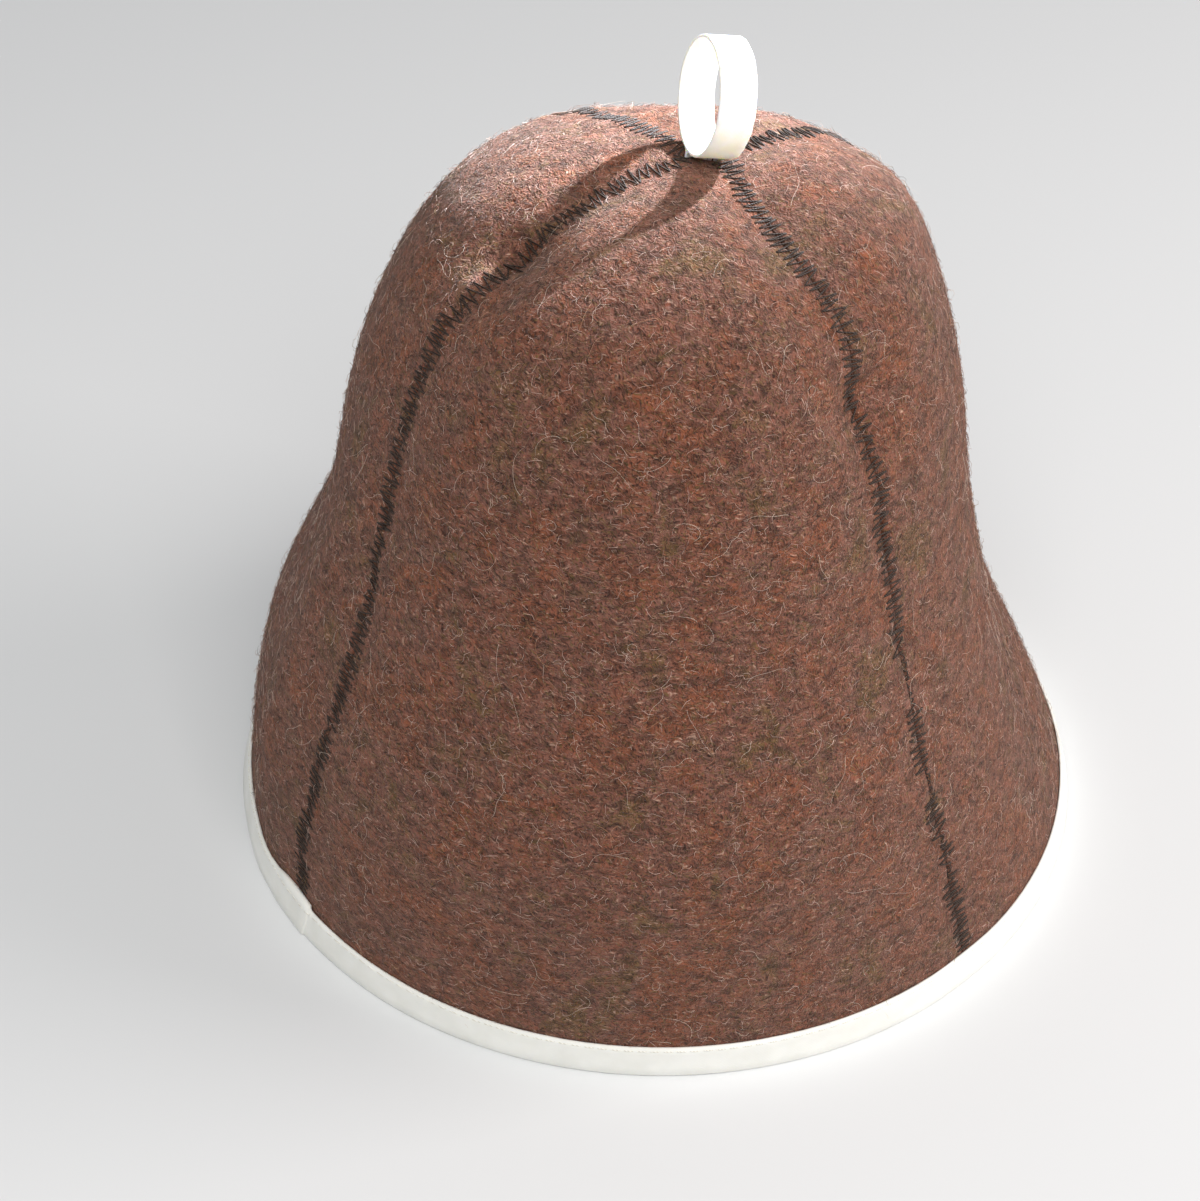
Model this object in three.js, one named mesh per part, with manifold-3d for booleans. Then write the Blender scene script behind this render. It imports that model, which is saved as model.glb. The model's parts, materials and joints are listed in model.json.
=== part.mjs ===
// Felt sauna hat: four felt gores sewn edge to edge into a soft bell, a folded tape that binds the hem,
// and a tape loop that stands on the crown where the four seams meet.
// Millimetres, +Z up. The hem lies on the plane z = 0 about the origin, and the front faces -Y.
// Angles round the hat are in degrees from the front, positive towards +X.

import * as THREE from "three";
import { mergeVertices } from "three/addons/utils/BufferGeometryUtils.js";
import Module from "manifold-3d";

// Driving dimensions
const FELT = 3; // thickness of the felt wall
const TAPE = 0.8; // thickness of the cotton tape
const GAP = 0.3; // clearance between neighbouring pieces
const BINDING_HEIGHT = 12; // how far the folded tape reaches up the felt
const FELT_EDGE = TAPE + GAP; // height of the felt's lower edge, inside the fold of the tape
const LEVEL_HEM = 45; // below this height the wall turns to a level thickness, so that the hem lies flat

// Level sections of the felt's outer surface, from the hem to the centre of the crown. Each one is an ellipse
// whose centre wanders, because the soft bell leans. The seams sink into the felt by seamDepth, and the puffed
// felt on each side rounds down to them over seamReach. The last section is the narrow opening that the four
// tips leave for the loop.
const SECTIONS = [
  { height: FELT_EDGE, halfWidth: 137.5, halfDepth: 137.5, shiftX: 0, shiftY: 0, seamDepth: 0.4, seamReach: 8 },
  { height: BINDING_HEIGHT, halfWidth: 134, halfDepth: 134, shiftX: 0, shiftY: -3, seamDepth: 0.6, seamReach: 8 },
  { height: 40, halfWidth: 127, halfDepth: 127, shiftX: -3, shiftY: -9, seamDepth: 1, seamReach: 8 },
  { height: 70, halfWidth: 117, halfDepth: 120, shiftX: -5, shiftY: -14, seamDepth: 1, seamReach: 9 },
  { height: 100, halfWidth: 106, halfDepth: 112, shiftX: -5, shiftY: -14, seamDepth: 1.2, seamReach: 10 },
  { height: 130, halfWidth: 96, halfDepth: 104, shiftX: -4, shiftY: -11, seamDepth: 1.5, seamReach: 11 },
  { height: 160, halfWidth: 90, halfDepth: 98, shiftX: -2, shiftY: -8, seamDepth: 2, seamReach: 13 },
  { height: 185, halfWidth: 83, halfDepth: 90, shiftX: 0, shiftY: -7, seamDepth: 2.5, seamReach: 15 },
  { height: 206, halfWidth: 73, halfDepth: 79, shiftX: 2, shiftY: -7, seamDepth: 3.5, seamReach: 16 },
  { height: 219, halfWidth: 61, halfDepth: 65, shiftX: 4, shiftY: -7, seamDepth: 4, seamReach: 16 },
  { height: 229, halfWidth: 38, halfDepth: 41, shiftX: 6, shiftY: -7, seamDepth: 3.5, seamReach: 13 },
  { height: 233, halfWidth: 5.5, halfDepth: 2.2, shiftX: 10, shiftY: -5, seamDepth: 1, seamReach: 6 },
];

// The angle of each seam at four levels: it wanders a little, as hand-fed sewing does. Its sink is the share
// of the sections' seamDepth that it takes: the front seams are drawn in tighter than those at the back.
const SEAM_LEVELS = ["hem", "waist", "shoulder", "centre"];
const SEAM_LEVEL_HEIGHTS = [FELT_EDGE, 100, 206, 233];
const SEAMS = {
  left: { hem: -57, waist: -56, shoulder: -59, centre: -63, sink: 1 },
  right: { hem: 43, waist: 46, shoulder: 41, centre: 38, sink: 1 },
  backRight: { hem: 130, waist: 130, shoulder: 129, centre: 124, sink: 0.7 },
  backLeft: { hem: 216, waist: 216, shoulder: 212, centre: 220, sink: 0.3 },
};

// Folds and dents pressed into the soft felt. Each is centred on the surface at an angle and a height, reaches
// across and along the panel, is turned from the upright by turn degrees and rises outwards. A dent's rise is
// negative.
const FOLDS = [
  { name: "left shoulder dent", angle: -58, height: 219, across: 15, along: 19, turn: 0, rise: -3.5 },
  { name: "left shoulder corner", angle: -62, height: 205, across: 13, along: 11, turn: 0, rise: 3 },
  { name: "left front bulge", angle: -42, height: 209, across: 14, along: 16, turn: 0, rise: 2 },
  { name: "right seam dent", angle: 41, height: 192, across: 10, along: 9, turn: 0, rise: -5 },
  { name: "crease beside the right seam", angle: 49, height: 195, across: 13, along: 7, turn: 10, rise: -3 },
  { name: "bulge above the crease", angle: 50, height: 207, across: 13, along: 9, turn: 0, rise: 2 },
  { name: "left side ridge", angle: -72, height: 85, across: 9, along: 70, turn: 0, rise: 3.5 },
  { name: "left flare behind the ridge", angle: -110, height: 58, across: 26, along: 36, turn: 6, rise: 4 },
  { name: "left waist hollow", angle: -98, height: 118, across: 20, along: 22, turn: 0, rise: -4 },
  { name: "right waist hollow", angle: 90, height: 72, across: 28, along: 36, turn: 0, rise: -5.5 },
  { name: "right shoulder flat", angle: 84, height: 196, across: 20, along: 22, turn: 0, rise: -2.5 },
  { name: "back roof flat", angle: 173, height: 219, across: 30, along: 21, turn: 0, rise: -10.5 },
  { name: "dip under the loop", angle: 107, height: 232.8, across: 11, along: 11, turn: 0, rise: -1.6 },
  { name: "back waist hollow", angle: 176, height: 105, across: 40, along: 32, turn: 0, rise: -3 },
];

// Each gore runs between two seams; a seam that lies a whole turn on is given with its added turn.
const FULL_TURN = 360;
const GORES = [
  { name: "panel_front", from: "left", to: "right", turnOn: 0 },
  { name: "panel_right", from: "right", to: "backRight", turnOn: 0 },
  { name: "panel_back", from: "backRight", to: "backLeft", turnOn: 0 },
  { name: "panel_left", from: "backLeft", to: "left", turnOn: FULL_TURN },
];
const GORE_COLUMNS = 18; // strips of facets across a gore
const GORE_ROWS = 28; // rings of facets from the hem to the centre

// Binding: the ends of the tape are lapped beside the left seam, where the upper end lies a little wider.
const LAP = { from: -63, to: -53.5, rise: TAPE, widen: 2 };
const LAP_TAPER = 3; // degrees over which the lap rises from the buried end
const LAP_STEP = 0.2; // degrees taken by the cut end's step
const BINDING_LEVELS = [1, 0.5]; // places down each leg of the folded tape, as parts of its height
const BINDING_ROUND = 0.5; // the fold's rounded lower corners

// Hanging loop
const LOOP_TAPE_WIDTH = 10.5;
const LOOP_HEIGHT = 33.6; // from the crown to the top of the loop
const LOOP_HALF_WIDTH = 16.6; // at its widest
const LOOP_WIDEST = 17.2; // height of the widest place above the crown
const LOOP_NECK = 0.8; // height above the crown where the two tails part
const LOOP_SPREAD = 8.5; // how far out each wall's bend begins, at the neck and at the top
const LOOP_EASE = 9; // length over which a wall bends up from the neck, or over at the top
const LOOP_FLAT = 1.4; // half of the flat at the top, where a hook bears
const LOOP_STEM = TAPE + 0.1; // half of the two tails, sewn flat on each other with the thread between them
const LOOP_TAIL = 8; // length of the tails sewn in below the crown
const LOOP_HEADING = -75; // way that the open side of the loop faces
const LOOP_LEAN = 11; // how far the loop leans over, away from the side that it faces
const LOOP_DIP = 0.2; // how far the seat lies below the bottom of the seams at the crown
const LOOP_SEGMENTS = 10; // straight pieces in each curve of the loop

// Materials, one for each piece
const COLOURS = { felt: "#714d40", binding: "#f0f0ea", loop: "#f8f6ee" };

function material(colour) {
  return new THREE.MeshStandardMaterial({ color: colour, roughness: 0.9, metalness: 0 });
}

// The sections as smooth curves with one shared parameter, 0 at the hem and 1 at the centre of the crown.
function curveThrough(x, y, z) {
  const points = SECTIONS.map((row) => new THREE.Vector3(row[x], row[y], row[z]));
  return new THREE.CatmullRomCurve3(points, false, "centripetal");
}
const sizeCurve = curveThrough("halfWidth", "halfDepth", "height");
const shiftCurve = curveThrough("shiftX", "shiftY", "height");
const seamCurve = curveThrough("seamDepth", "seamReach", "height");

function radians(angle) {
  return THREE.MathUtils.degToRad(angle);
}

// A smooth bell that is 1 at distance 0 and fades out over its reach.
function bell(distance, reach) {
  return Math.exp(-((distance / reach) ** 2));
}

// The plain leaning bell, with no seams or folds.
function plainPoint(angle, level) {
  const size = sizeCurve.getPoint(level);
  const shift = shiftCurve.getPoint(level);
  const turn = radians(angle);
  return new THREE.Vector3(
    shift.x + size.x * Math.sin(turn),
    shift.y - size.y * Math.cos(turn),
    size.z,
  );
}

// Tangents and outward normal of a surface, by small differences.
const SMALL_ANGLE = 0.05;
const SMALL_LEVEL = 0.0005;
function frameAt(surface, angle, level) {
  const low = Math.max(level - SMALL_LEVEL, 0);
  const high = Math.min(level + SMALL_LEVEL, 1);
  const across = surface(angle + SMALL_ANGLE, level).sub(surface(angle - SMALL_ANGLE, level)).normalize();
  const along = surface(angle, high).sub(surface(angle, low)).normalize();
  const normal = across.clone().cross(along).normalize();
  return { across, along, normal };
}

// The level parameter at which the plain bell has a height, found by halving.
const HALVINGS = 30;
function levelAtHeight(height) {
  let low = 0;
  let high = 1;
  for (let step = 0; step < HALVINGS; step += 1) {
    const middle = (low + high) / 2;
    if (sizeCurve.getPoint(middle).z < height) low = middle;
    else high = middle;
  }
  return (low + high) / 2;
}

// A seam's angle at a level, eased between the levels of its row.
const seamLevels = SEAM_LEVEL_HEIGHTS.map(levelAtHeight);
function seamAngle(seam, level) {
  const last = SEAM_LEVELS.length - 2;
  const above = seamLevels.findIndex((value) => value > level);
  const index = above < 0 ? last : Math.min(Math.max(above - 1, 0), last);
  const share = THREE.MathUtils.smoothstep(level, seamLevels[index], seamLevels[index + 1]);
  const start = SEAMS[seam][SEAM_LEVELS[index]];
  const end = SEAMS[seam][SEAM_LEVELS[index + 1]];
  return THREE.MathUtils.lerp(start, end, share);
}

// Each fold with the centre and the turned directions of its own small frame.
const placedFolds = FOLDS.map((fold) => {
  const level = levelAtHeight(fold.height);
  const { across, along, normal } = frameAt(plainPoint, fold.angle, level);
  const turn = radians(fold.turn);
  return {
    ...fold,
    centre: plainPoint(fold.angle, level),
    acrossWay: across.clone().multiplyScalar(Math.cos(turn)).addScaledVector(along, Math.sin(turn)),
    alongWay: along.clone().multiplyScalar(Math.cos(turn)).addScaledVector(across, -Math.sin(turn)),
    normal,
  };
});

// How far the folds and the sunk seams move the felt out from the plain bell.
function relief(point, angle, level) {
  let rise = 0;
  for (const fold of placedFolds) {
    const offset = point.clone().sub(fold.centre);
    const wide = Math.max(fold.across, fold.along);
    const near = bell(offset.dot(fold.normal), wide);
    rise += fold.rise * near * bell(offset.dot(fold.acrossWay), fold.across)
      * bell(offset.dot(fold.alongWay), fold.along);
  }
  const seam = seamCurve.getPoint(level);
  const radius = sizeCurve.getPoint(level).x;
  const sunk = Object.entries(SEAMS).map(([name, row]) => {
    const turned = THREE.MathUtils.euclideanModulo(angle - seamAngle(name, level) + FULL_TURN / 2, FULL_TURN);
    return row.sink * bell(radians(turned - FULL_TURN / 2) * radius, seam.y);
  });
  rise -= seam.x * Math.max(...sunk);
  return rise;
}

// The felt's outer surface.
function feltPoint(angle, level) {
  const point = plainPoint(angle, level);
  const { normal } = frameAt(plainPoint, angle, level);
  return point.addScaledVector(levelled(normal, point.z), relief(point, angle, level));
}

// Near the hem the wall's direction lies level.
function levelled(normal, height) {
  const upright = THREE.MathUtils.smoothstep(height, BINDING_HEIGHT, LEVEL_HEM);
  return new THREE.Vector3(normal.x, normal.y, normal.z * upright).normalize();
}

// A point out from the felt's outer surface, or in from it where the offset is negative.
function offsetPoint(angle, level, offset) {
  const point = feltPoint(angle, level);
  const { normal } = frameAt(feltPoint, angle, level);
  return point.addScaledVector(levelled(normal, point.z), offset);
}

// The angles of a gore's columns at a level, half a gap in from the seam on each side.
function goreAngles(gore, level) {
  const { x, y } = sizeCurve.getPoint(level);
  const margin = THREE.MathUtils.radToDeg(GAP / 2 / Math.min(x, y));
  const start = seamAngle(gore.from, level) + margin;
  const end = seamAngle(gore.to, level) + gore.turnOn - margin;
  return Array.from({ length: GORE_COLUMNS + 1 }, (unused, column) =>
    THREE.MathUtils.lerp(start, end, column / GORE_COLUMNS),
  );
}

// A closed body from rings of points: ring after ring along it, each ring closed on itself. The closing side is
// split on its other diagonal, so that the facing edges of two neighbours stay parallel.
function bodyFromRings(rings, joined) {
  const count = rings[0].length;
  const positions = rings.flat().flatMap((point) => point.toArray());
  const triangles = [];
  const last = joined ? rings.length : rings.length - 1;
  for (let ring = 0; ring < last; ring += 1) {
    const next = (ring + 1) % rings.length;
    for (let side = 0; side < count; side += 1) {
      const a = ring * count + side;
      const b = ring * count + ((side + 1) % count);
      const c = next * count + ((side + 1) % count);
      const d = next * count + side;
      if (side === count - 1) triangles.push(a, b, d, b, c, d);
      else triangles.push(a, b, c, a, c, d);
    }
  }
  return { positions, triangles, count };
}

function geometryOf(positions, triangles) {
  const geometry = new THREE.BufferGeometry();
  geometry.setAttribute("position", new THREE.Float32BufferAttribute(positions, 3));
  geometry.setIndex(triangles);
  return geometry;
}

// A gore of felt: each row of facets is a ring that goes along the outside and comes back along the inside, and
// the first and last rings are closed by strips between the two faces.
function goreGeometry(gore) {
  const rings = [];
  for (let row = 0; row <= GORE_ROWS; row += 1) {
    const level = row / GORE_ROWS;
    const angles = goreAngles(gore, level);
    const outside = angles.map((angle) => feltPoint(angle, level));
    const inside = angles.map((angle) => offsetPoint(angle, level, -FELT));
    rings.push([...outside, ...inside.reverse()]);
  }
  const { positions, triangles, count } = bodyFromRings(rings, false);
  const top = GORE_ROWS * count;
  for (let column = 0; column < GORE_COLUMNS; column += 1) {
    const outer = column;
    const inner = count - 1 - column;
    triangles.push(outer, inner, inner - 1, outer, inner - 1, outer + 1);
    triangles.push(top + outer, top + inner - 1, top + inner, top + outer, top + outer + 1, top + inner - 1);
  }
  return geometryOf(positions, triangles);
}

// How much of the lap's extra thickness lies at an angle.
function lapShare(angle) {
  const rising = THREE.MathUtils.smoothstep(angle, LAP.from, LAP.from + LAP_TAPER);
  return angle > LAP.to ? 0 : rising;
}

// The stations of the binding: the gores' own columns at the hem, and more where the tape is lapped.
function bindingAngles() {
  const columns = GORES.flatMap((gore) => goreAngles(gore, 0));
  const wrapped = columns.map((angle) => (angle > FULL_TURN / 2 ? angle - FULL_TURN : angle));
  const lapped = [LAP.from, LAP.from + LAP_TAPER / 2, LAP.from + LAP_TAPER, LAP.to, LAP.to + LAP_STEP];
  return [...wrapped, ...lapped].sort((a, b) => a - b);
}

// The folded tape's section at one station: down the outside, under the fold, up the inside, and back between
// the legs round the felt's edge.
function bindingRing(angle) {
  const outerOffset = GAP + TAPE + LAP.rise * lapShare(angle);
  const innerOffset = -FELT - GAP - TAPE;
  const outerHeight = BINDING_HEIGHT + LAP.widen * lapShare(angle);
  const leg = (offset, top) =>
    BINDING_LEVELS.map((part) => {
      const height = FELT_EDGE + part * (top - FELT_EDGE);
      return offsetPoint(angle, levelAtHeight(height), offset);
    });
  const atHeight = (offset, height) => offsetPoint(angle, 0, offset).setZ(height);
  return [
    ...leg(outerOffset, outerHeight),
    atHeight(outerOffset, BINDING_ROUND),
    atHeight(outerOffset - BINDING_ROUND, 0),
    atHeight(innerOffset + BINDING_ROUND, 0),
    atHeight(innerOffset, BINDING_ROUND),
    ...leg(innerOffset, BINDING_HEIGHT).reverse(),
    ...leg(-FELT - GAP, BINDING_HEIGHT),
    atHeight(-FELT - GAP, TAPE),
    atHeight(GAP, TAPE),
    ...leg(GAP, outerHeight).reverse(),
  ];
}

function bindingGeometry() {
  const rings = bindingAngles().map((angle) => bindingRing(angle));
  const { positions, triangles } = bodyFromRings(rings, true);
  return geometryOf(positions, triangles);
}

// One face of the loop's tape seen along the loop, from the neck up to the flat at the top and down again. Inset
// draws the inner face of the tape.
function loopFace(inset) {
  const wide = LOOP_HALF_WIDTH - inset;
  const neck = LOOP_NECK + inset;
  const top = LOOP_HEIGHT - inset;
  const lower = new THREE.CubicBezierCurve(
    new THREE.Vector2(LOOP_STEM - inset, neck),
    new THREE.Vector2(LOOP_SPREAD - inset, neck),
    new THREE.Vector2(wide, LOOP_WIDEST - LOOP_EASE),
    new THREE.Vector2(wide, LOOP_WIDEST),
  );
  const upper = new THREE.CubicBezierCurve(
    new THREE.Vector2(wide, LOOP_WIDEST),
    new THREE.Vector2(wide, LOOP_WIDEST + LOOP_EASE),
    new THREE.Vector2(LOOP_SPREAD - inset, top),
    new THREE.Vector2(LOOP_FLAT, top),
  );
  const right = [...lower.getPoints(LOOP_SEGMENTS), ...upper.getPoints(LOOP_SEGMENTS).slice(1)];
  const left = right.map((point) => new THREE.Vector2(-point.x, point.y)).reverse();
  return [...right, ...left];
}

function loopGeometry() {
  const tails = [new THREE.Vector2(-LOOP_STEM, -LOOP_TAIL), new THREE.Vector2(LOOP_STEM, -LOOP_TAIL)];
  const outline = new THREE.Shape([...tails, ...loopFace(0)]);
  outline.holes.push(new THREE.Path(loopFace(TAPE)));
  const geometry = new THREE.ExtrudeGeometry(outline, { depth: LOOP_TAPE_WIDTH, bevelEnabled: false });
  geometry.translate(0, 0, -LOOP_TAPE_WIDTH / 2);
  geometry.rotateX(Math.PI / 2);
  return geometry;
}

// Where the loop stands: on the felt at the centre of the crown.
const crownCentre = SECTIONS[SECTIONS.length - 1];
const loopTurn = radians(LOOP_HEADING);
const loopLean = radians(LOOP_LEAN);
const loopSeat = new THREE.Vector3(
  crownCentre.shiftX,
  crownCentre.shiftY,
  crownCentre.height - crownCentre.seamDepth - LOOP_DIP,
);

// The slot between the gores that the loop's tails pass down through.
function slotGeometry() {
  const depth = 2 * (LOOP_TAIL + FELT);
  const slot = new THREE.BoxGeometry(2 * (LOOP_STEM + GAP), LOOP_TAPE_WIDTH + 2 * GAP, depth);
  slot.rotateX(-loopLean);
  slot.rotateZ(loopTurn);
  slot.translate(loopSeat.x, loopSeat.y, loopSeat.z);
  return slot;
}

const wasm = await Module();
wasm.setup();

function solidOf(geometry) {
  const bare = new THREE.BufferGeometry();
  bare.setAttribute("position", geometry.getAttribute("position"));
  bare.setIndex(geometry.index);
  const merged = mergeVertices(bare);
  return new wasm.Manifold(
    new wasm.Mesh({
      numProp: 3,
      vertProperties: merged.getAttribute("position").array,
      triVerts: new Uint32Array(merged.index.array),
    }),
  );
}

function cut(geometry, tool) {
  const mesh = solidOf(geometry).subtract(solidOf(tool)).getMesh();
  return geometryOf(Array.from(mesh.vertProperties), Array.from(mesh.triVerts));
}

function addPiece(group, name, geometry, colour) {
  geometry.computeVertexNormals();
  const mesh = new THREE.Mesh(geometry, material(colour));
  mesh.name = name;
  group.add(mesh);
  return mesh;
}

const hat = new THREE.Group();
const slot = slotGeometry();
for (const gore of GORES) addPiece(hat, gore.name, cut(goreGeometry(gore), slot), COLOURS.felt);
addPiece(hat, "hem_binding", bindingGeometry(), COLOURS.binding);
const loop = addPiece(hat, "hanging_loop", loopGeometry(), COLOURS.loop);
loop.position.copy(loopSeat);
loop.rotation.set(-loopLean, 0, loopTurn, "ZYX");

export default hat;
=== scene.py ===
# %% [markdown]
# # A felt sauna hat
#
# This lesson dresses a bell-shaped hat that is sewn from four gores of wool felt. White tape is folded over
# the hem, and a loop of the same tape stands on the crown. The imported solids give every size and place, so
# each piece below starts from the solid that it stands for and adds what makes cloth look like cloth.

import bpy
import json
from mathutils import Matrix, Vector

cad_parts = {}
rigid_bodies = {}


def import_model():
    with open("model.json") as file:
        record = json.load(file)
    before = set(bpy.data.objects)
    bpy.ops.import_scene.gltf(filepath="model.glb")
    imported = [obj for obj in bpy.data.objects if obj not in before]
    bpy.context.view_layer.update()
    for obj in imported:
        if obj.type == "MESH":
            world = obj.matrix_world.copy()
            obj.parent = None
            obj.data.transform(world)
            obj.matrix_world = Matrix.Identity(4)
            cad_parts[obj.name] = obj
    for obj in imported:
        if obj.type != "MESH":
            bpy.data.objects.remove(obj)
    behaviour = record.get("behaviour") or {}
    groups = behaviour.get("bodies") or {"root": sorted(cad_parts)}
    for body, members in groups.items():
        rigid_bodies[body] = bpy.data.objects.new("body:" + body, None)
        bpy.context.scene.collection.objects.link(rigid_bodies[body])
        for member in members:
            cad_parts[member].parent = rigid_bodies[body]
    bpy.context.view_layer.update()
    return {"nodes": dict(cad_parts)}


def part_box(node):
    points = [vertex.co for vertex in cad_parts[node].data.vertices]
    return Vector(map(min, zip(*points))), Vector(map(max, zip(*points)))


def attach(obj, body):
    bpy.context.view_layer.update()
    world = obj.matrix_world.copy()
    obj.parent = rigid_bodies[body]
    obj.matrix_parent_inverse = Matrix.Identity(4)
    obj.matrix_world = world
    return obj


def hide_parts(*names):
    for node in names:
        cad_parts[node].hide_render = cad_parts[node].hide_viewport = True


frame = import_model()
print("solids:", sorted(frame["nodes"]))

# %% Bring in the tools
import json
import math

import bmesh
import bpy
import numpy as np
from mathutils import Vector, noise
from mathutils.bvhtree import BVHTree
from mathutils.kdtree import KDTree

MM = 0.001
chance = np.random.default_rng(20)
print("one millimetre is", MM, "of Blender's metres")

# %% [markdown]
# ## The camera
# A portrait of a small thing is taken from a little way off, looking down at it. A camera is easiest to place
# from the point that it looks at: step back from there by the distance, at the angle above the floor.

# %% Place the camera
FIELD_OF_VIEW = math.radians(28)
CAMERA_RISE = math.radians(40)
CAMERA_DISTANCE = 763 * MM
CAMERA_TARGET = Vector((-18.5, -7, 73)) * MM

lens = bpy.data.cameras.new("camera")
lens.sensor_fit = "HORIZONTAL"
lens.angle = FIELD_OF_VIEW
lens.clip_start = 10 * MM
camera = bpy.data.objects.new("camera", lens)
step_back = Vector((0, -math.cos(CAMERA_RISE), math.sin(CAMERA_RISE)))
camera.location = CAMERA_TARGET + CAMERA_DISTANCE * step_back
camera.rotation_euler = (math.pi / 2 - CAMERA_RISE, 0, 0)
bpy.context.scene.collection.objects.link(camera)
bpy.context.scene.camera = camera
print("camera at", [round(x / MM) for x in camera.location], "mm")

# %% [markdown]
# ## Colours and nodes
# Colours are easiest to pick as the hex values of a paint program, which are in sRGB. Shaders want linear
# light, so one function turns the one into the other. A second function adds a shader node, gives it its
# settings and joins it to the nodes before it, so that a material reads as a short list.


# %% Helpers for colours and materials
def linear(hex_colour):
    """The linear colour, with alpha, of an sRGB hex value."""
    shares = [int(hex_colour[i:i + 2], 16) / 255 for i in (1, 3, 5)]
    light = [s / 12.92 if s <= 0.04045 else ((s + 0.055) / 1.055) ** 2.4 for s in shares]
    return (*light, 1.0)


def add_node(tree, kind, values=None, links=None, stops=None, **settings):
    """Adds a node. values go to its inputs, links join outputs to inputs, and stops fill a colour ramp."""
    node = tree.nodes.new("ShaderNode" + kind)
    for name, value in settings.items():
        setattr(node, name, value)
    for socket, value in (values or {}).items():
        node.inputs[socket].default_value = value
    for socket, output in (links or {}).items():
        tree.links.new(output, node.inputs[socket])
    for i, (place, colour) in enumerate(stops or ()):
        ramp = node.color_ramp.elements
        stop = ramp[i] if i < 2 else ramp.new(place)
        stop.position = place
        stop.color = linear(colour)
    return node


def new_material(name):
    """An empty material, and its tree of nodes."""
    material = bpy.data.materials.new(name)
    material.use_nodes = True
    material.node_tree.nodes.clear()
    return material, material.node_tree


print("mid grey in linear light:", round(linear("#808080")[0], 3))

# %% [markdown]
# ## Wool felt, knitted and fulled
# Felt is wool that was wetted and rubbed until its fibres locked. Fibres of several browns were carded
# together first, so the cloth is heathered: from near it is rust, olive, mauve and almost black, and only
# from afar one brown. Its face is a mat of crossing fibres, so it has no gloss, and its fibre ends catch
# light at the rim. The pattern is made from noise in the hat's own millimetres, coarse for the patches where
# one colour gathers and fine for single fibres, so it is the same size on every gore and needs no unwrapping.

# %% The felt's material
PATCH_SIZE = 16 * MM       # patches where one colour of wool gathers, with smaller ones inside them
PIT_SIZE = 2.2 * MM        # small hollows between locks of wool
ROW_STRETCH = 0.55         # the hollows are longer along the knitted rows than across them
FIBRE_WIDTH = 0.5 * MM     # from one fibre to the next, drawn about fifteen times as coarse as wool, to show
FIBRE_STRETCH = 0.16       # a fibre's width as a share of the length that lies straight
FIBRE_CURL = 1.8 * MM      # how far a fibre wanders from a straight line
FELT_RELIEF = 0.5 * MM
FIBRE_LAYERS = (
    # turn of the layer in degrees, colour of its wool, where its fibres begin and end in the noise
    ((0, 0, 0), "#8c5240", 0.53, 0.66),
    ((62, 20, 0), "#3f2922", 0.53, 0.66),
    ((70, 0, 75), "#8b6053", 0.54, 0.67),
    ((35, 50, 30), "#6e5836", 0.56, 0.68),
    ((90, 35, 140), "#33201a", 0.55, 0.68),
    ((50, 80, 200), "#bf9c88", 0.60, 0.74),
)


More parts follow.
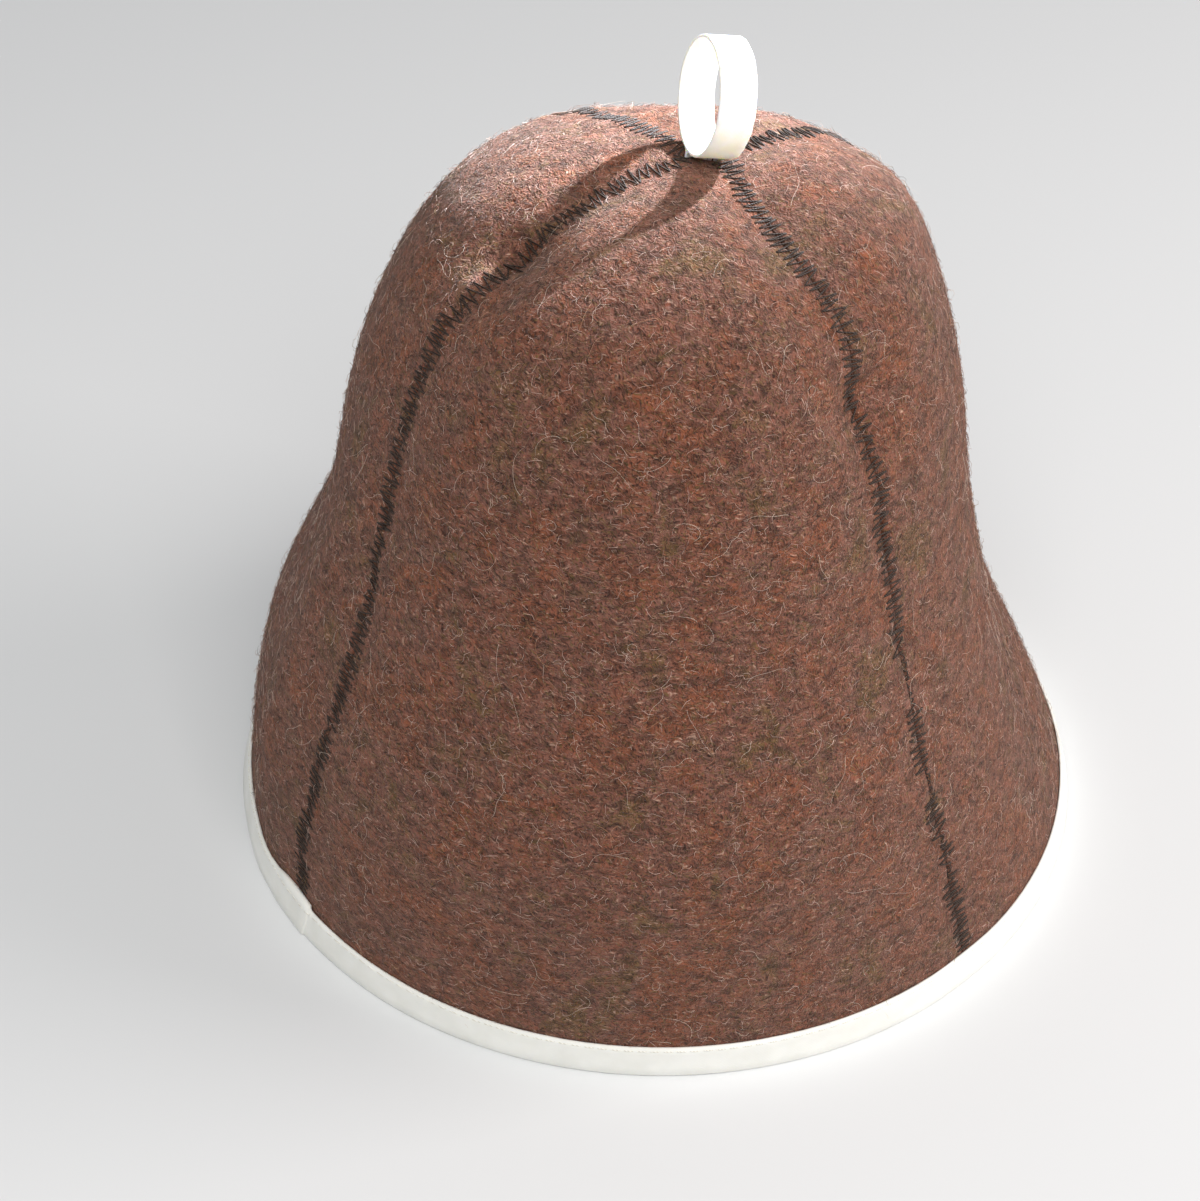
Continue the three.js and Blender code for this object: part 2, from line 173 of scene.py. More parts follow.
def wool_felt():
    """Felted wool: dull, heathered, with a soft pale rim and painted shade in its small hollows."""
    material, tree = new_material("wool_felt_fulled")
    place = add_node(tree, "TexCoord").outputs["Object"]
    patches = add_node(tree, "TexNoise",
                       {"Scale": 1 / PATCH_SIZE, "Detail": 5, "Roughness": 0.65, "Distortion": 0.6},
                       {"Vector": place})
    colour = add_node(tree, "ValToRGB", links={"Fac": patches.outputs["Fac"]},
                      stops=((0.35, "#8d5238"), (0.65, "#74593a"), (0.45, "#855442"), (0.55, "#7f584d")))
    colour = colour.outputs["Color"]
    wander = add_node(tree, "TexNoise", {"Scale": 0.5 / FIBRE_CURL, "Detail": 1}, {"Vector": place})
    curled = add_node(tree, "VectorMath", {1: (2 * FIBRE_CURL,) * 3}, {0: wander.outputs["Color"], 2: place},
                      operation="MULTIPLY_ADD")
    relief = None
    for turn, wool, begins, ends in FIBRE_LAYERS:
        turned = add_node(tree, "Mapping", {"Rotation": [math.radians(a) for a in turn]},
                          {"Vector": curled.outputs["Vector"]})
        drawn_out = add_node(tree, "VectorMath", {1: (1, 1, FIBRE_STRETCH)}, {0: turned.outputs["Vector"]},
                             operation="MULTIPLY")
        streaks = add_node(tree, "TexNoise", {"Scale": 1 / FIBRE_WIDTH, "Detail": 1.5},
                           {"Vector": drawn_out.outputs["Vector"]})
        cover = add_node(tree, "MapRange", {"From Min": begins, "From Max": ends, "To Max": 0.8},
                         {"Value": streaks.outputs["Fac"]})
        colour = add_node(tree, "Mix", {"B": linear(wool)}, {"Factor": cover.outputs["Result"], "A": colour},
                          data_type="RGBA").outputs["Result"]
        links = {0: streaks.outputs["Fac"]}
        if relief:
            links[1] = relief
        relief = add_node(tree, "Math", links=links, operation="ADD").outputs["Value"]
    along_rows = add_node(tree, "Mapping", {"Scale": (ROW_STRETCH, ROW_STRETCH, 1)}, {"Vector": place})
    pits = add_node(tree, "TexNoise",
                    {"Scale": 1 / PIT_SIZE, "Detail": 2, "Roughness": 0.6, "Distortion": 0.8},
                    {"Vector": along_rows.outputs["Vector"]})
    # The colour is darkened in the pits' hollows, down to half, as painted shade.
    painted_pit_shade = add_node(tree, "MapRange", {"From Min": 0.36, "From Max": 0.58, "To Min": 0.5},
                     {"Value": pits.outputs["Fac"]})
    colour = add_node(tree, "Mix", {"Factor": 1.0}, {"A": colour, "B": painted_pit_shade.outputs["Result"]},
                      data_type="RGBA", blend_type="MULTIPLY").outputs["Result"]
    height = add_node(tree, "Math", {1: 2.0}, {0: pits.outputs["Fac"], 2: relief}, operation="MULTIPLY_ADD")
    bump = add_node(tree, "Bump", {"Strength": 0.8, "Distance": FELT_RELIEF},
                    {"Height": height.outputs["Value"]})
    surface = add_node(tree, "BsdfPrincipled",
                       {"Roughness": 0.95, "IOR": 1.55, "Specular IOR Level": 0.2, "Sheen Weight": 0.14,
                        "Sheen Roughness": 0.45, "Sheen Tint": linear("#f0d8cc")},
                       {"Base Color": colour, "Normal": bump.outputs["Normal"]})
    add_node(tree, "OutputMaterial", links={"Surface": surface.outputs["BSDF"]})
    return material


felt = wool_felt()
print("felt:", len(FIBRE_LAYERS), "layers of fibres,", FIBRE_WIDTH / MM, "mm apart")

# %% [markdown]
# ## Loose wool fibres
# The fibres that stand out of the felt are dyed in the wool, each in one colour. A fibre is far thinner than
# a pixel, so it needs no pattern of its own: one dull colour for each kind, with a little sheen where light
# runs along it.


# %% The fibres' materials
def dyed_wool(name, colour):
    """A dyed wool fibre: one colour, scaly and dull, with a thin sheen."""
    material, tree = new_material(name)
    surface = add_node(tree, "BsdfPrincipled",
                       {"Base Color": linear(colour), "Roughness": 0.7, "IOR": 1.55,
                        "Specular IOR Level": 0.3, "Sheen Weight": 0.2, "Sheen Roughness": 0.4})
    add_node(tree, "OutputMaterial", links={"Surface": surface.outputs["BSDF"]})
    return material


# %% [markdown]
# ## Sewing thread, spun and twisted
# The seams are sewn with dark brown spun thread. Spun thread is two strands twisted together, which gives it
# fine slanting ridges and a soft gloss on their tops. The twist is a band pattern across the hat's space, and
# the colour between the ridges is darkened there as painted shade.

# %% The threads' material
TWIST_LENGTH = 0.5 * MM
WAVE_REPEAT = 0.314        # the width of one band of a wave texture at scale 1


def spun_thread(name, colour, shade):
    """Twisted spun thread: slanting ridges, with painted shade between them."""
    material, tree = new_material(name)
    place = add_node(tree, "TexCoord").outputs["Object"]
    twist = add_node(tree, "TexWave", {"Scale": WAVE_REPEAT / TWIST_LENGTH, "Distortion": 1.5, "Detail": 1},
                     {"Vector": place}, bands_direction="DIAGONAL")
    # The darker second colour is painted shade in the grooves between the twists.
    painted_groove_shade = add_node(tree, "ValToRGB", links={"Fac": twist.outputs["Fac"]},
                       stops=((0.1, shade), (0.8, colour)))
    bump = add_node(tree, "Bump", {"Strength": 0.5, "Distance": 0.1 * MM}, {"Height": twist.outputs["Fac"]})
    surface = add_node(tree, "BsdfPrincipled", {"Roughness": 0.6, "IOR": 1.5, "Specular IOR Level": 0.35},
                       {"Base Color": painted_groove_shade.outputs["Color"], "Normal": bump.outputs["Normal"]})
    add_node(tree, "OutputMaterial", links={"Surface": surface.outputs["BSDF"]})
    return material


# The second colour of each thread is the painted shade between its twists.
seam_thread = spun_thread("spun_seam_thread", "#46372e", "#1a120f")
tape_thread = spun_thread("spun_tape_thread", "#f4f2ea", "#d8d4c8")
print("threads:", seam_thread.name, tape_thread.name)

# %% [markdown]
# ## Cotton tape, woven plain
# The binding and the loop are bleached cotton tape in a plain weave: threads cross over and under, so the
# face is a fine even grid with no direction. It is dull and very light. The loop is thin enough to let some
# light through, which shows as a warm glow where its two sides face each other.

# %% The tape's material
WEAVE_SPACING = 0.6 * MM   # the real threads lie about 0.35 mm apart, drawn coarser so that they show
SOIL_SIZE = 9 * MM         # faint patches where the tape is less white


def cotton_tape(name, colour, shade, glow):
    """Plain woven cotton: a fine grid of threads, matt, with some light passing through."""
    material, tree = new_material(name)
    place = add_node(tree, "TexCoord").outputs["Object"]
    waves = [add_node(tree, "TexWave", {"Scale": WAVE_REPEAT / WEAVE_SPACING, "Distortion": 0.4},
                      {"Vector": place}, bands_direction=way) for way in ("DIAGONAL", "Z")]
    weave = add_node(tree, "Math", links={0: waves[0].outputs["Fac"], 1: waves[1].outputs["Fac"]},
                     operation="MULTIPLY")
    soil = add_node(tree, "TexNoise", {"Scale": 1 / SOIL_SIZE, "Detail": 4}, {"Vector": place})
    tone = add_node(tree, "ValToRGB", links={"Fac": soil.outputs["Fac"]},
                    stops=((0.35, shade), (0.65, colour)))
    bump = add_node(tree, "Bump", {"Strength": 0.25, "Distance": 0.08 * MM},
                    {"Height": weave.outputs["Value"]})
    surface = add_node(tree, "BsdfPrincipled",
                       {"Roughness": 0.85, "IOR": 1.5, "Specular IOR Level": 0.25, "Subsurface Weight": glow,
                        "Subsurface Radius": (1.0, 0.85, 0.6), "Subsurface Scale": 1.2 * MM,
                        "Sheen Weight": 0.1},
                       {"Base Color": tone.outputs["Color"], "Normal": bump.outputs["Normal"]})
    add_node(tree, "OutputMaterial", links={"Surface": surface.outputs["BSDF"]})
    return material


binding_tape = cotton_tape("cotton_binding_tape_woven", "#f2f2ed", "#ebebe5", 0.1)
loop_tape = cotton_tape("cotton_loop_tape_woven", "#fdfcf8", "#f8f5ea", 0.6)
print("tapes:", binding_tape.name, loop_tape.name)

# %% [markdown]
# ## Soft copies of the solids
# Each solid is faceted and exact. Cloth has no facets, so a soft copy is made: its split corners are welded,
# its triangles paired into squares, the edges where the cloth was cut are creased so that they stay, and a
# subdivision surface rounds the rest. A displacement by cloud noise then gives the slight lumps of hand-made
# cloth. Modifiers do all this, and the result is kept as a plain mesh.

# %% A soft copy of a solid
CUT_EDGE = math.radians(40)
EDGE_CREASE = 0.8
WELD = 0.002 * MM


def welded_squares(node):
    """The node's mesh with corners welded, triangles paired into squares and cut edges creased."""
    form = bmesh.new()
    form.from_mesh(frame["nodes"][node].data)
    bmesh.ops.remove_doubles(form, verts=form.verts, dist=WELD)
    bmesh.ops.join_triangles(form, faces=form.faces, angle_face_threshold=CUT_EDGE,
                             angle_shape_threshold=math.pi)
    crease = form.edges.layers.float.new("crease_edge")
    for edge in form.edges:
        if edge.is_manifold and edge.calc_face_angle() > CUT_EDGE:
            edge[crease] = EDGE_CREASE
    mesh = bpy.data.meshes.new(node)
    form.to_mesh(mesh)
    form.free()
    return mesh


def soft_copy(node, name, rounds, lump_size, lump_height):
    """A rounded, slightly lumpy mesh object in the place of a solid."""
    rough = bpy.data.objects.new(name, welded_squares(node))
    bpy.context.scene.collection.objects.link(rough)
    rounding = rough.modifiers.new("rounding", "SUBSURF")
    rounding.levels = rounding.render_levels = rounds
    lumps = bpy.data.textures.new(name + "_lumps", "CLOUDS")
    lumps.noise_scale = lump_size
    lumps.noise_depth = 2
    relief = rough.modifiers.new("relief", "DISPLACE")
    relief.texture = lumps
    relief.texture_coords = "LOCAL"
    relief.strength = lump_height
    depsgraph = bpy.context.evaluated_depsgraph_get()
    mesh = bpy.data.meshes.new_from_object(rough.evaluated_get(depsgraph))
    mesh.name = name
    mesh.shade_smooth()
    rough.modifiers.clear()
    rough.data = mesh
    return rough


# %% [markdown]
# ## Where the seams run
# Two gores meet edge to edge, a hair apart. Corners of one gore that have a corner of the next within that
# gap lie on the seam, and half way between the two is the seam's line. Only corners on the outer face are
# kept, and they are put in order by walking from the hem to the nearest one that is left.

# %% Follow a seam
SEAM_GAP = 1.2 * MM
HEART = np.array((0, -8, 90)) * MM   # a point well inside the hat
SEAMS = (("panel_left", "panel_front"), ("panel_front", "panel_right"),
         ("panel_right", "panel_back"), ("panel_back", "panel_left"))


def outer_corners(node):
    """The corners of a solid whose normals look away from the heart of the hat."""
    mesh = welded_squares(node)
    places = np.array([v.co for v in mesh.vertices])
    leans = np.array([v.normal for v in mesh.vertices])
    return places[((places - HEART) * leans).sum(axis=1) > 0]


def seam_line(one, other):
    """The points half way between two gores' edges, from the hem to the crown."""
    ours, theirs = outer_corners(one), outer_corners(other)
    apart = np.linalg.norm(ours[:, None] - theirs[None], axis=2)
    near = apart.min(axis=1) < SEAM_GAP
    left = list((ours[near] + theirs[apart.argmin(axis=1)[near]]) / 2)
    line = [left.pop(int(np.argmin([p[2] for p in left])))]
    while left:
        line.append(left.pop(int(np.argmin([np.linalg.norm(p - line[-1]) for p in left]))))
    return np.array(line)


def even_steps(line, step):
    """Points at even steps along a smooth curve through a line's points."""
    lengths = np.concatenate([[0], np.cumsum(np.linalg.norm(np.diff(line, axis=0), axis=1))])
    slopes = np.gradient(line, lengths, axis=0)
    at = np.arange(0, lengths[-1], step)
    span = np.clip(np.searchsorted(lengths, at, side="right") - 1, 0, len(line) - 2)
    reach = (lengths[span + 1] - lengths[span])[:, None]
    t = (at - lengths[span])[:, None] / reach
    return ((2 * t**3 - 3 * t**2 + 1) * line[span] + (t**3 - 2 * t**2 + t) * reach * slopes[span]
            + (3 * t**2 - 2 * t**3) * line[span + 1] + (t**3 - t**2) * reach * slopes[span + 1])


seam_lines = [seam_line(*pair) for pair in SEAMS]
print("seams:", [len(line) for line in seam_lines], "points")

# %% [markdown]
# ## Puckers along the seams
# Thread is pulled tighter than felt, so a seam draws the cloth into small waves, deepest at the stitches and
# gone a finger's width away. Both gores have to move as one, so the waves come from noise in space and push
# straight out from the heart of the hat. A few deeper dents, where the seams bend over the shoulder, are
# listed one by one.

# %% Pucker the felt
PUCKER_LENGTH = 13 * MM
PUCKER_HEIGHT = 1.6 * MM
PUCKER_REACH = 9 * MM
PUCKER_START = 16 * MM      # above the hem, where the tape holds the edge flat
SEAM_POINT_STEP = 2 * MM
DENT_STEP = 1 * MM
DENTS = (
    # seam, height on it, size and rise in mm
    (0, 217, 8, -3.0),
    (0, 210, 6, 2.2),
    (1, 192, 5, -1.6),
)
seam_points = np.concatenate([even_steps(line, SEAM_POINT_STEP) for line in seam_lines])
seam_tree = KDTree(len(seam_points))
for i, point in enumerate(seam_points):
    seam_tree.insert(point, i)
seam_tree.balance()


def dent_places():
    """Each dent's middle on its seam, its size and its rise, in metres."""
    rows = []
    for seam, height, size, rise in DENTS:
        line = even_steps(seam_lines[seam], DENT_STEP)
        middle = line[np.argmin(np.abs(line[:, 2] - height * MM))]
        rows.append((Vector(middle), size * MM, rise * MM))
    return rows


def pucker(piece):
    """Moves a gore's corners in and out near the seams."""
    dents = dent_places()
    for corner in piece.data.vertices:
        away = seam_tree.find(corner.co)[2]
        hold = min(max((corner.co.z - PUCKER_START) / PUCKER_LENGTH, 0), 1)
        wave = noise.noise(corner.co / PUCKER_LENGTH) * PUCKER_HEIGHT * math.exp(-(away / PUCKER_REACH) ** 2)
        rise = wave * hold
        for middle, size, height in dents:
            rise += height * math.exp(-((corner.co - middle).length / size) ** 2)
        corner.co += rise * (corner.co - Vector(HEART)).normalized()


print("puckers follow", len(seam_points), "points of the seams")

# %% [markdown]
# ## The four gores
# A gore is one flat cut of felt, 3 mm thick, wide at the hem and narrow at the crown. The table gives the
# size
# of its cut, in millimetres: its arc at the hem, and the line up its middle to the crown.
# The area of the cut is the felt's own, half of the piece's surface.

# %% Make the gores
GORES = {
    # arc at the hem and line up the middle, in mm
    "panel_front": (236, 300),
    "panel_right": (205, 294),
    "panel_back": (203, 295),
    "panel_left": (206, 299),
}


def cloth_area(piece):
    """The area of one face of a closed piece of cloth, in square metres."""
    return sum(face.area for face in piece.data.polygons) / 2


def dress(piece, node, material):
    """Gives a piece its material and lets it stand for its solid."""
    piece.data.materials.clear()
    piece.data.materials.append(material)
    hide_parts(node)
    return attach(piece, "root")


gores = []
for node, (cut_width, cut_length) in GORES.items():
    gore = soft_copy(node, node.replace("panel", "gore"), rounds=2, lump_size=7 * MM, lump_height=0.3 * MM)
    pucker(gore)
    dress(gore, node, felt)
    gores.append(gore)
    print(gore.name, len(gore.data.polygons), "squares,", round(cloth_area(gore), 4), "square metres of felt")

# %% [markdown]
# ## The hem binding
# The binding is one strip of tape, folded round the felt's edge and lapped at its ends. Flat, it is as wide
# as both of its legs and the fold between them, and a lap longer than the hem is round.

# %% Make the binding
TAPE_HEIGHT = 12 * MM      # of each folded leg, apart from the lap

binding = soft_copy("hem_binding", "binding", rounds=1, lump_size=14 * MM, lump_height=0.15 * MM)
dress(binding, "hem_binding", binding_tape)
print("binding:", len(binding.data.polygons), "squares,", round(cloth_area(binding), 5), "square metres")

# %% [markdown]
# ## The hanging loop
# The loop is a short length of narrower tape, bent into a ring that stands on the crown, with its ends sewn
# in where the four gores meet.

loop = soft_copy("hanging_loop", "loop", rounds=2, lump_size=9 * MM, lump_height=0.15 * MM)
dress(loop, "hanging_loop", loop_tape)
print("loop:", len(loop.data.polygons), "squares,", round(cloth_area(loop), 5), "square metres")

# %% [markdown]
# ## Strands from arrays
# Thread, fibres and hairs are all thin round strands along a path. There are tens of thousands, so they are
# worked out together as arrays and joined into one mesh for each kind: a ring of corners round each point of
# a path, a flat end at the root and a point at the tip.


# %% Build many strands as one mesh
def unit(vectors):
    """The vectors at length one."""
    return vectors / np.maximum(np.linalg.norm(vectors, axis=-1, keepdims=True), 1e-12)


def strand_faces(rings, sides):
    """The triangles of one strand with so many rings and a tip, as corner numbers."""
    faces = []
    for s in range(sides):
        after = (s + 1) % sides
        for ring in range(rings - 1):
            a, b = ring * sides + s, ring * sides + after
            faces += [(a, b + sides, b), (a, a + sides, b + sides)]
        last = (rings - 1) * sides
        faces.append((last + s, rings * sides, last + after))
    faces += [(0, s, s + 1) for s in range(1, sides - 1)]
    return np.array(faces)


def strands(name, paths, radii, ups, sides, material):
    """One mesh of strands. paths holds (strand, point, xyz), radii (strand, point) and ups (strand, xyz)."""
    count, length = paths.shape[:2]
    forward = unit(np.gradient(paths, axis=1))
    sideways = unit(np.cross(forward, ups[:, None, :]))
    upward = np.cross(sideways, forward)
    turns = 2 * math.pi * np.arange(sides) / sides
    outward = np.cos(turns)[:, None] * sideways[:, :-1, None] + np.sin(turns)[:, None] * upward[:, :-1, None]
    rings = paths[:, :-1, None] + radii[:, :-1, None, None] * outward
    corners = np.concatenate([rings.reshape(count, -1, 3), paths[:, -1:]], axis=1)
    faces = strand_faces(length - 1, sides)
    faces = (faces[None] + (np.arange(count) * corners.shape[1])[:, None, None]).reshape(-1, 3)
    mesh = bpy.data.meshes.new(name)
    mesh.vertices.add(corners.size // 3)
    mesh.vertices.foreach_set("co", corners.astype(np.float32).ravel())
    mesh.loops.add(faces.size)
    mesh.loops.foreach_set("vertex_index", faces.astype(np.int32).ravel())
    mesh.polygons.add(len(faces))
    mesh.polygons.foreach_set("loop_start", np.arange(0, faces.size, 3, dtype=np.int32))
    mesh.update(calc_edges=True)
    mesh.shade_smooth()
    mesh.materials.append(material)
    piece = bpy.data.objects.new(name, mesh)
    bpy.context.scene.collection.objects.link(piece)
    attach(piece, "root")
    print(name, count, "strands,", len(faces), "triangles")
    return piece


# %% [markdown]
# ## The felt's outer face
# Thread and fibres lie on the felt, so they need to know where it is. A search tree over the four gores finds
# the nearest point of the felt, and a list of the triangles that face outwards lets fibres be scattered
# evenly, each triangle getting its share by area.

# %% Read the felt's outer face
OUTWARD = 0.35     # how squarely a face has to look away from the heart of the hat


def read_triangles(pieces):
    """The corners (triangle, corner, xyz) and corner normals of the pieces' triangles."""
    corners, normals = [], []
    for piece in pieces:
        mesh = piece.data
        mesh.calc_loop_triangles()
        places = np.empty(len(mesh.vertices) * 3)
        leans = np.empty(len(mesh.vertices) * 3)
        which = np.empty(len(mesh.loop_triangles) * 3, dtype=np.int32)
        mesh.vertices.foreach_get("co", places)
        mesh.vertices.foreach_get("normal", leans)
        mesh.loop_triangles.foreach_get("vertices", which)
        corners.append(places.reshape(-1, 3)[which.reshape(-1, 3)])
        normals.append(leans.reshape(-1, 3)[which.reshape(-1, 3)])
    return np.concatenate(corners), np.concatenate(normals)


corners, corner_normals = read_triangles(gores)
across = np.cross(corners[:, 1] - corners[:, 0], corners[:, 2] - corners[:, 0])
areas = np.linalg.norm(across, axis=1) / 2
outer = (unit(across) * unit(corners.mean(axis=1) - HEART)).sum(axis=1) > OUTWARD
corners, corner_normals, areas = corners[outer], corner_normals[outer], areas[outer]
corner_numbers = np.arange(outer.sum() * 3).reshape(-1, 3)
felt_face = BVHTree.FromPolygons(corners.reshape(-1, 3).tolist(), corner_numbers.tolist())
print("outer felt:", round(areas.sum(), 4), "square metres in", len(areas), "triangles")


def onto_felt(points):
    """The nearest places on the outer felt, and the felt's normals there."""
    found = [felt_face.find_nearest(Vector(p)) for p in points.reshape(-1, 3)]
    places = np.array([hit[0] for hit in found]).reshape(points.shape)
    leans = np.array([hit[1] for hit in found]).reshape(points.shape)
    return places, leans


# %% [markdown]
# ## The zigzag seams
# The gores are joined by a wide and close zigzag of dark thread. Each stitch comes out of one edge, crosses
# the seam and goes into the other, and the next one comes back a little further on. A stitch is a short
# strand whose ends dip into the felt, and its middle is kept on top of it. Hand-fed sewing is uneven, so the
# holes wander.

# %% Sew the gores together
ZIGZAG_WIDTH = 7.0 * MM
ZIGZAG_STEP = 1.15 * MM
THREAD_RADIUS = 0.24 * MM
STITCH_PROUD = 0.2 * MM      # how far the thread's middle stands out of the felt
STITCH_DIP = 0.5 * MM        # how far its ends go in
HAND_WOBBLE = 0.4 * MM
THREAD_SIDES = 5
STITCH_SHARES = np.array((0, 0.05, 0.2, 0.5, 0.8, 0.95, 1))   # points along a stitch, closest at the holes
FELT_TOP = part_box("panel_front")[1].z
loop_corners = np.array([v.co for v in frame["nodes"]["hanging_loop"].data.vertices])
LOOP_FOOT = loop_corners[loop_corners[:, 2] < FELT_TOP].mean(axis=0)
LOOP_CLEAR = 3 * MM


def zigzag(line):
    """The paths and up directions of one seam's stitches."""
    middle = even_steps(line, ZIGZAG_STEP)
    beside_loop = np.linalg.norm((middle - LOOP_FOOT)[:, :2], axis=1) < LOOP_CLEAR
    middle = middle[(middle[:, 2] > TAPE_HEIGHT) & ~beside_loop]
    middle, leans = onto_felt(middle)
    ways = unit(np.gradient(middle, axis=0))
    side = unit(np.cross(leans, ways))
    swing = np.where(np.arange(len(middle)) % 2, 1, -1)[:, None] * ZIGZAG_WIDTH / 2
    holes = middle + swing * side + chance.normal(0, HAND_WOBBLE, middle.shape)
    holes, leans = onto_felt(holes)
    share = STITCH_SHARES[None, :, None]
    paths = holes[:-1, None] * (1 - share) + holes[1:, None] * share
    under, up = onto_felt(paths)
    proud = ((paths - under) * up).sum(axis=2, keepdims=True)
    paths = under + up * np.maximum(proud, STITCH_PROUD)
    paths[:, 0] -= leans[:-1] * (STITCH_DIP + STITCH_PROUD)
    paths[:, -1] -= leans[1:] * (STITCH_DIP + STITCH_PROUD)
    return paths, unit(leans[:-1] + leans[1:])


sewn = [zigzag(line) for line in seam_lines]
stitch_paths = np.concatenate([paths for paths, ups in sewn])
stitch_ups = np.concatenate([ups for paths, ups in sewn])
strands("seam_zigzag_thread", stitch_paths, np.full(stitch_paths.shape[:2], THREAD_RADIUS), stitch_ups,
        THREAD_SIDES, seam_thread)

# %% [markdown]
# ## The binding's topstitch
# One straight row of white stitches holds the folded tape, just under its upper edge, and the same row shows
# on the inside. A ray from outside, and one from inside, finds the tape's face at each end of a stitch.

# %% Sew the binding on
TOPSTITCH_DROP = 1.3 * MM     # below the tape's upper edge
TOPSTITCH_STEP = 3.9 * MM
TOPSTITCH_LENGTH = 3.2 * MM
TOPSTITCH_RADIUS = 0.17 * MM
HEM_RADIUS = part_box("hem_binding")[1].x


def tape_face(angles, from_inside):
    """Where rays at the topstitch's height meet the tape, and the tape's normals there."""
    mesh = binding.data
    tree = BVHTree.FromPolygons([v.co for v in mesh.vertices], [p.vertices for p in mesh.polygons])
    places, leans = [], []
    for angle in angles:
        way = Vector((math.sin(angle), -math.cos(angle), 0))
        start = way * HEM_RADIUS * (0.5 if from_inside else 1.5)
        start.z = TAPE_HEIGHT - TOPSTITCH_DROP
        place, lean = tree.ray_cast(start, way if from_inside else -way)[:2]
        places.append(place)
        leans.append(lean)
    return np.array(places), np.array(leans)


def topstitch(from_inside):
    """The paths and up directions of the row of stitches on one face of the tape."""
    count = int(2 * math.pi * HEM_RADIUS / TOPSTITCH_STEP)
    reach = TOPSTITCH_LENGTH / HEM_RADIUS
    first = 2 * math.pi * np.arange(count) / count
    shares = (0, 0.12, 0.5, 0.88, 1)
    heights = np.array((-1.2, 0.1, 0.35, 0.1, -1.2)) * TOPSTITCH_RADIUS
    rows = [tape_face(first + reach * share, from_inside) for share in shares]
    paths = np.stack([places + leans * height for (places, leans), height in zip(rows, heights)], axis=1)
    return paths, rows[2][1]


rows = [topstitch(from_inside) for from_inside in (False, True)]
paths = np.concatenate([row[0] for row in rows])
strands("binding_topstitch", paths, np.full(paths.shape[:2], TOPSTITCH_RADIUS),
        np.concatenate([row[1] for row in rows]), THREAD_SIDES, tape_thread)

# %% [markdown]
# ## Loose fibres
# Fulling leaves fibre ends standing out of the felt. They lie in every direction, most of them close to the
# face and some a millimetre off it, where they blur the outline. Each colour of wool is one joined mesh. The
# paths are arcs: a heading on the felt, a bend along the way and a rise off the face.

# %% Scatter roots on the felt
ROOT_DEPTH = 0.15 * MM
ABOVE_TAPE = 0.4 * MM
SWAY = 0.5           # how far a strand swings from its heading, in radians
SWAY_WAVES = 1.5


def scatter(count):
    """Random places on the outer felt with their normals, above the binding and clear of the loop."""
    faces = chance.choice(len(areas), size=count, p=areas / areas.sum())
    shares = chance.dirichlet((1, 1, 1), size=count)[:, :, None]
    places = (corners[faces] * shares).sum(axis=1)
    leans = unit((corner_normals[faces] * shares).sum(axis=1))
    beside_loop = np.linalg.norm((places - LOOP_FOOT)[:, :2], axis=1) < LOOP_CLEAR
    kept = (places[:, 2] > TAPE_HEIGHT + ABOVE_TAPE) & ~beside_loop
    return places[kept], leans[kept]


def arcs(places, leans, lengths, lifts, bends, points):
    """Paths that leave the felt at each place, bend along it and rise off it."""
    count = len(places)
    heading = unit(np.cross(leans, chance.normal(size=(count, 3))))
    aside = np.cross(leans, heading)
    share = np.linspace(0, 1, points)[None, :]
    swing = chance.normal(0, SWAY, (count, 1))
    sway = swing * np.sin(2 * math.pi * (share * SWAY_WAVES + chance.random((count, 1))))
    turn = bends[:, None] * share + sway
    step = lengths[:, None] / (points - 1)
    along = np.cumsum(np.cos(turn) * step, axis=1) - step
    sideways = np.cumsum(np.sin(turn) * step, axis=1)
    loose = chance.random((count, 1))
    rise = lifts[:, None] * ((1 - loose) * np.sin(math.pi * share) + loose * share) - ROOT_DEPTH * (1 - share)
    return (places[:, None] + along[..., None] * heading[:, None] + sideways[..., None] * aside[:, None]
            + rise[..., None] * leans[:, None])


print("a trial of 1000 roots keeps", len(scatter(1000)[0]))

# %% Grow the fibres
WOOLS = {
    "chestnut": ("#8c5544", 8000),
    "mauve": ("#956e62", 8000),
    "olive": ("#7d623a", 6500),
    "umber": ("#2c1b17", 8000),
    "pale": ("#cfb2a4", 7500),
}
FIBRE_RADIUS = 0.07 * MM     # about four times as thick as real wool, so that single fibres show
FIBRE_POINTS = 4
FIBRE_SIDES = 3
FIBRE_LENGTHS = (2.0, 6.0)   # shortest and longest, in mm
FIBRE_LIFT = (2.0, 0.28)     # shape and scale in mm of a gamma draw: most lie close, a few stand off
FIBRE_BEND = 2.2             # spread of the bend from root to tip, in radians
TIP_SHARE = 0.35             # a strand's radius at its tip as a share of that at its root


def taper(count, radius, points):
    """The radii of strands that narrow towards their tips."""
    return np.tile(radius * np.linspace(1, TIP_SHARE, points), (count, 1))


for wool, (colour, count) in WOOLS.items():
    places, leans = scatter(count)
    count = len(places)
    lengths = chance.uniform(*FIBRE_LENGTHS, count) * MM
    lifts = chance.gamma(*FIBRE_LIFT, count) * MM
    bends = chance.normal(0, FIBRE_BEND, count)
    paths = arcs(places, leans, lengths, lifts, bends, FIBRE_POINTS)
    strands("loose_fibres_" + wool, paths, taper(count, FIBRE_RADIUS, FIBRE_POINTS), leans, FIBRE_SIDES,
            dyed_wool("dyed_wool_" + wool, colour))

# %% [markdown]
# ## Long hairs
# Here and there a coarse hair has worked out of the felt, some pale and some ginger. Such a hair is long and
# springy, so it lies in a hook or a loose curl.

# %% Grow the long hairs
HAIRS = {
    # colour, how many, and radius in mm
    "pale": ("#e6d3c2", 620, 0.046),
    "ginger": ("#c08d68", 650, 0.046),
}
HAIR_POINTS = 12
HAIR_LENGTHS = (6, 18)     # in mm
HAIR_LIFTS = (0.2, 1.2)    # in mm
HAIR_BEND = 3.2            # in radians

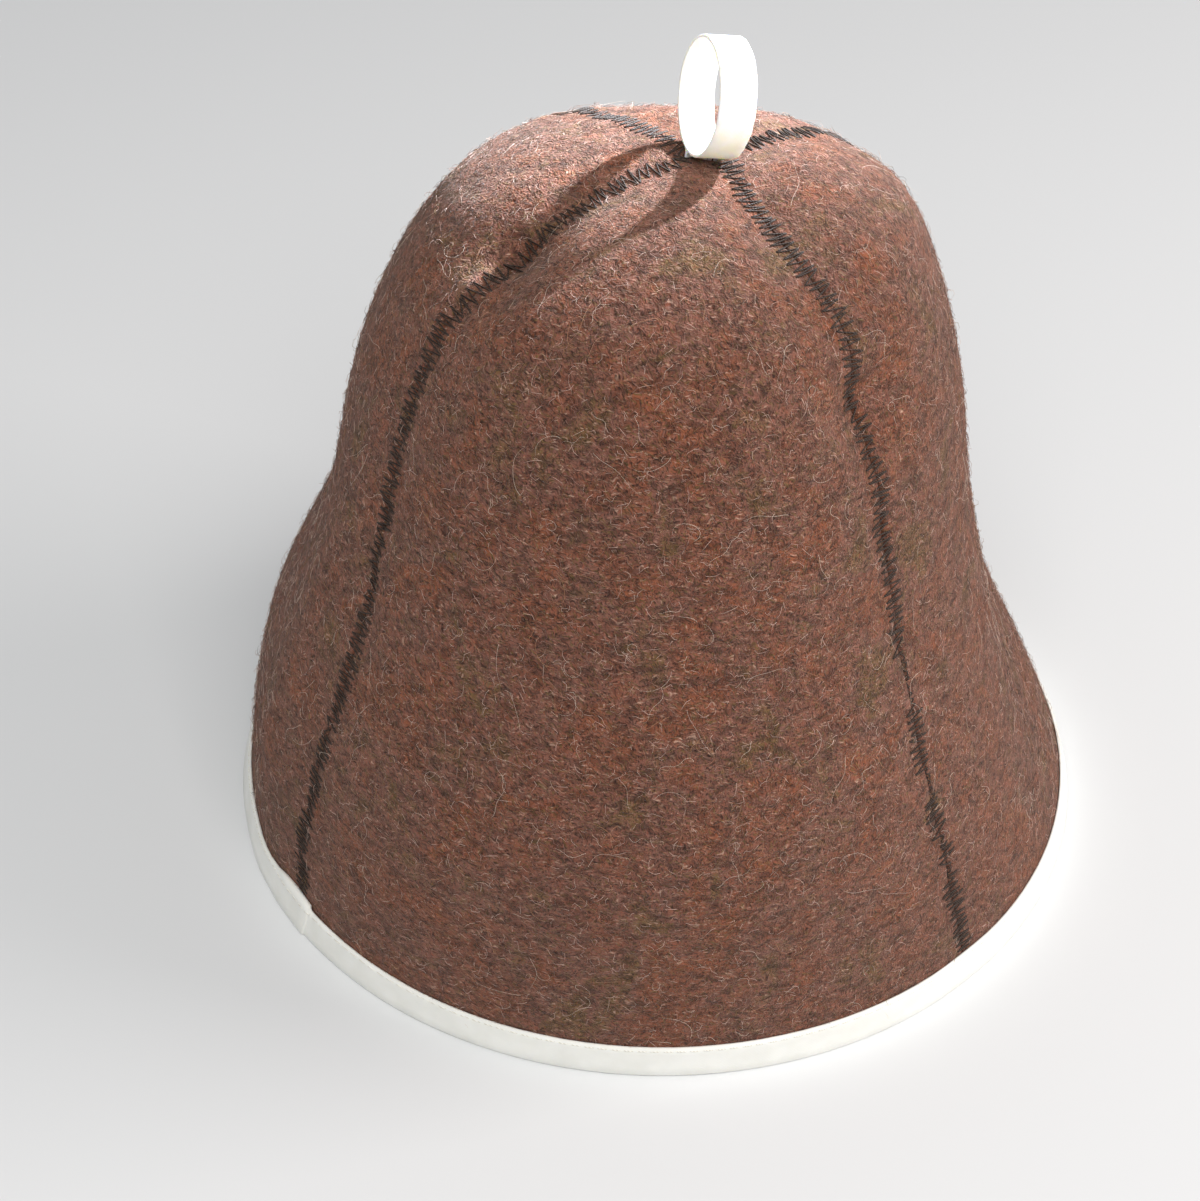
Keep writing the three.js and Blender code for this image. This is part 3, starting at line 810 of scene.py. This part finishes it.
for hair, (colour, count, radius) in HAIRS.items():
    places, leans = scatter(count)
    count = len(places)
    lengths = chance.uniform(*HAIR_LENGTHS, count) * MM
    lifts = chance.uniform(*HAIR_LIFTS, count) * MM
    bends = chance.normal(0, HAIR_BEND, count)
    paths = arcs(places, leans, lengths, lifts, bends, HAIR_POINTS)
    strands("long_hairs_" + hair, paths, taper(count, radius * MM, HAIR_POINTS), leans, FIBRE_SIDES,
            dyed_wool("coarse_wool_" + hair, colour))

# %% [markdown]
# ## A plain pale floor and soft light
# The hat stands on a wide floor. A broad soft lamp above the camera lights the near side evenly, and a second
# one from the right fills in. A small lamp behind, of the kind that picks out hair in portraits, is aimed at
# the crown, so that the roof stands out brightly and the loop throws a shadow. A studio would shade the floor
# from this lamp with a board; here light linking lets it light the hat only.

# %% Floor, lights and surroundings
FLOOR_SIZE = 6.0
FLOOR_DROP = 0.1 * MM      # a little more than the binding's lumps reach below the solid
CROWN = Vector((-54, 42, 222)) * MM
ROOM_LIGHT = 0.4           # strength of the even light from all round


def plain_floor():
    """A pale matt floor just below the hem."""
    bpy.ops.mesh.primitive_plane_add(size=FLOOR_SIZE, location=(0, 0, -FLOOR_DROP))
    floor = bpy.context.object
    floor.name = "floor"
    material, tree = new_material("painted_floor")
    surface = add_node(tree, "BsdfPrincipled", {"Base Color": linear("#dddfe1"), "Roughness": 0.9})
    add_node(tree, "OutputMaterial", links={"Surface": surface.outputs["BSDF"]})
    floor.data.materials.append(material)


def lamp(name, kind, place, target, watts, colour, **settings):
    """A lamp at a place in metres that points at a target."""
    light = bpy.data.lights.new(name, kind)
    light.energy = watts
    light.color = linear(colour)[:3]
    for setting, value in settings.items():
        setattr(light, setting, value)
    holder = bpy.data.objects.new(name, light)
    holder.location = place
    holder.rotation_euler = (target - Vector(place)).to_track_quat("-Z", "Y").to_euler()
    bpy.context.scene.collection.objects.link(holder)
    return holder


def hat_only():
    """A collection of the hat's own pieces, without the floor."""
    pieces = bpy.data.collections.new("lit_by_crown_lamp")
    for piece in bpy.context.scene.objects:
        if piece.type == "MESH" and piece.name != "floor":
            pieces.objects.link(piece)
    return pieces


plain_floor()
lamp("broad_lamp", "AREA", (0.1, -1.1, 1.7), CAMERA_TARGET, 31, "#fbf8f4", size=1.5)
lamp("side_lamp", "AREA", (1.5, -0.1, 0.8), CAMERA_TARGET, 18, "#fff8f4", size=1.0)
crown_lamp = lamp("crown_lamp", "SPOT", (1.03, 0.85, 1.1), CROWN, 800, "#e8f4ff",
                  spot_size=math.radians(9.2), spot_blend=0.8, shadow_soft_size=0.04)
crown_lamp.light_linking.receiver_collection = hat_only()
world = bpy.data.worlds.new("studio")
world.use_nodes = True
world.node_tree.nodes["Background"].inputs["Color"].default_value = linear("#eef0f2")
world.node_tree.nodes["Background"].inputs["Strength"].default_value = ROOM_LIGHT
bpy.context.scene.world = world
bpy.context.scene.view_settings.view_transform = "Standard"
